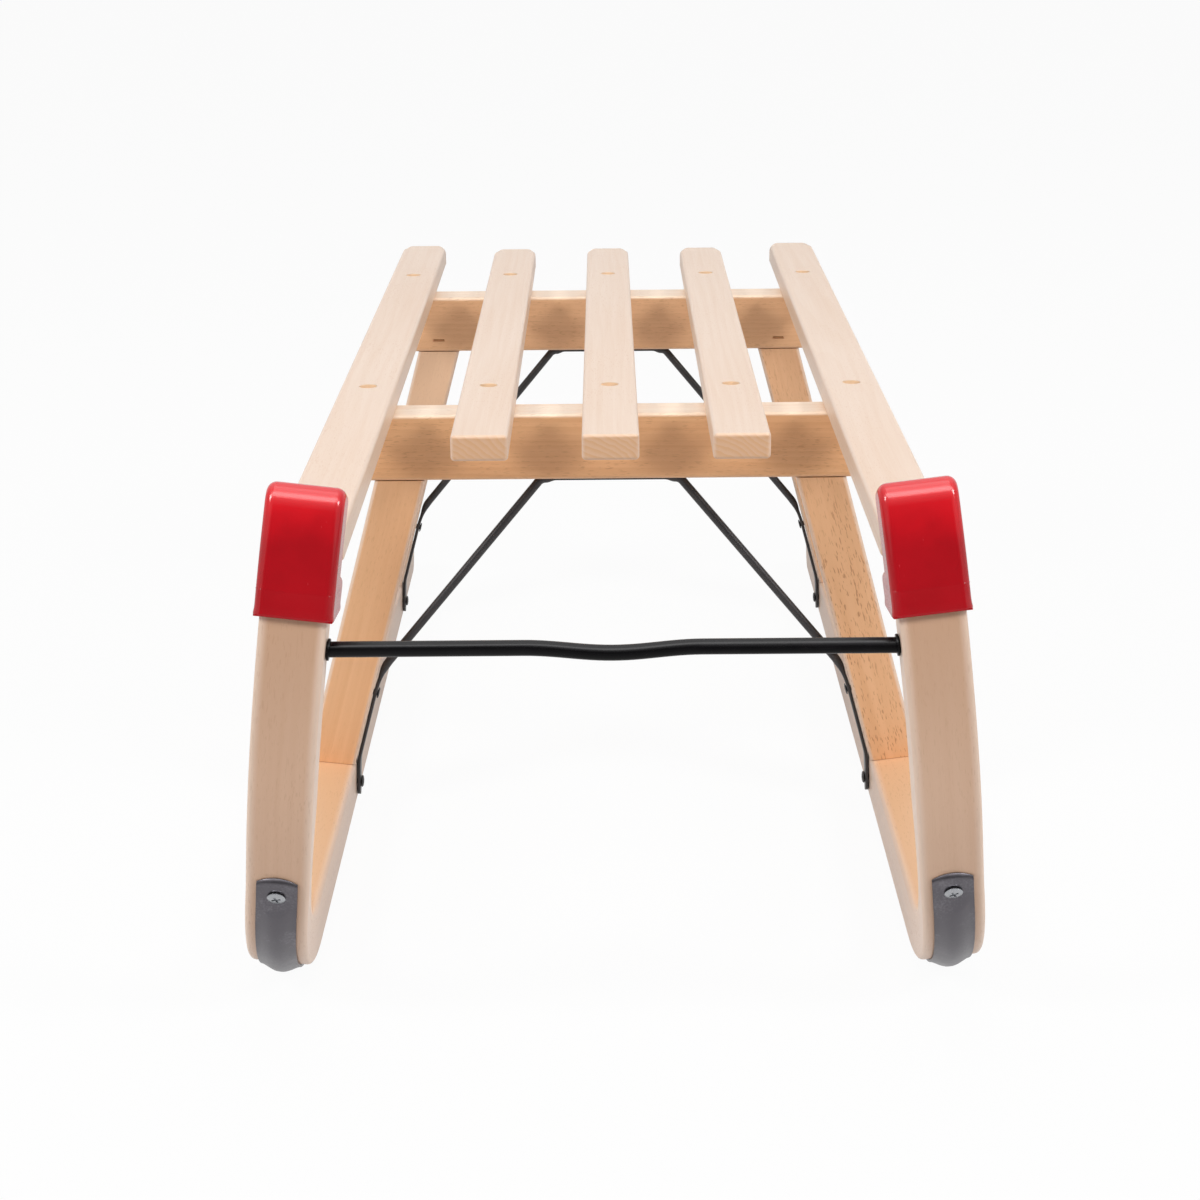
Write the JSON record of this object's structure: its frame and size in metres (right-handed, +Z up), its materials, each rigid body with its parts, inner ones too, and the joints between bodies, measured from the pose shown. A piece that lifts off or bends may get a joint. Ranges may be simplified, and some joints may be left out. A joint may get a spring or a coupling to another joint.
{
  "type": "sledge",
  "caption": "Low wooden sledge: lengthwise seat slats on crossbars and splayed legs, bentwood runners shod in domed steel, red-capped horns, a pull bar and rod braces.",
  "frame": {"origin": "on the ground, at the middle of the bounding box's width and length", "axes": "+Z up from the ground; +Y from the horns to the sledge's rear end; +X from its left runner to its right one, seen from the front"},
  "size_m": [0.3648, 0.7988, 0.2833],
  "materials": {
    "pale_beech": "clear satin varnish",
    "warm_beech": "clear satin varnish",
    "red_plastic": "glossy moulded",
    "black_steel": "black satin coating",
    "shoe_steel": "dark satin rolled steel",
    "screw_steel": "bright zinc plate"
  },
  "bodies": {
    "root": {"seat_slat_left": "pale_beech", "seat_slat_center": "pale_beech", "seat_slat_right": "pale_beech", "seat_rail_left": "pale_beech", "seat_rail_right": "pale_beech", "crossbar_front": "warm_beech", "crossbar_rear": "warm_beech", "leg_front_left": "warm_beech", "leg_front_right": "warm_beech", "leg_rear_left": "warm_beech", "leg_rear_right": "warm_beech", "runner_left": "warm_beech", "runner_right": "warm_beech", "horn_cap_left": "red_plastic", "horn_cap_right": "red_plastic", "pull_bar": "black_steel", "brace_front": "black_steel", "brace_rear": "black_steel", "runner_shoe_left": "shoe_steel", "runner_shoe_right": "shoe_steel", "rail_left_screw_front": "screw_steel", "slat_left_screw_front": "screw_steel", "slat_center_screw_front": "screw_steel", "slat_right_screw_front": "screw_steel", "rail_right_screw_front": "screw_steel", "rail_left_screw_rear": "screw_steel", "slat_left_screw_rear": "screw_steel", "slat_center_screw_rear": "screw_steel", "slat_right_screw_rear": "screw_steel", "rail_right_screw_rear": "screw_steel", "shoe_screw_front_left": "screw_steel", "shoe_screw_front_right": "screw_steel", "shoe_screw_rear_left": "screw_steel", "shoe_screw_rear_right": "screw_steel", "horn_screw_left": "screw_steel", "horn_screw_right": "screw_steel", "leg_staple_front_left": "black_steel", "leg_staple_front_right": "black_steel", "leg_staple_rear_left": "black_steel", "leg_staple_rear_right": "black_steel", "brace_screw_center_front_left": "black_steel", "brace_screw_center_front_right": "black_steel", "brace_screw_center_rear_left": "black_steel", "brace_screw_center_rear_right": "black_steel", "brace_screw_leg_front_left": "black_steel", "brace_screw_leg_front_right": "black_steel", "brace_screw_leg_rear_left": "black_steel", "brace_screw_leg_rear_right": "black_steel", "brace_screw_foot_front_left": "black_steel", "brace_screw_foot_front_right": "black_steel", "brace_screw_foot_rear_left": "black_steel", "brace_screw_foot_rear_right": "black_steel"}
  },
  "joints": []
}
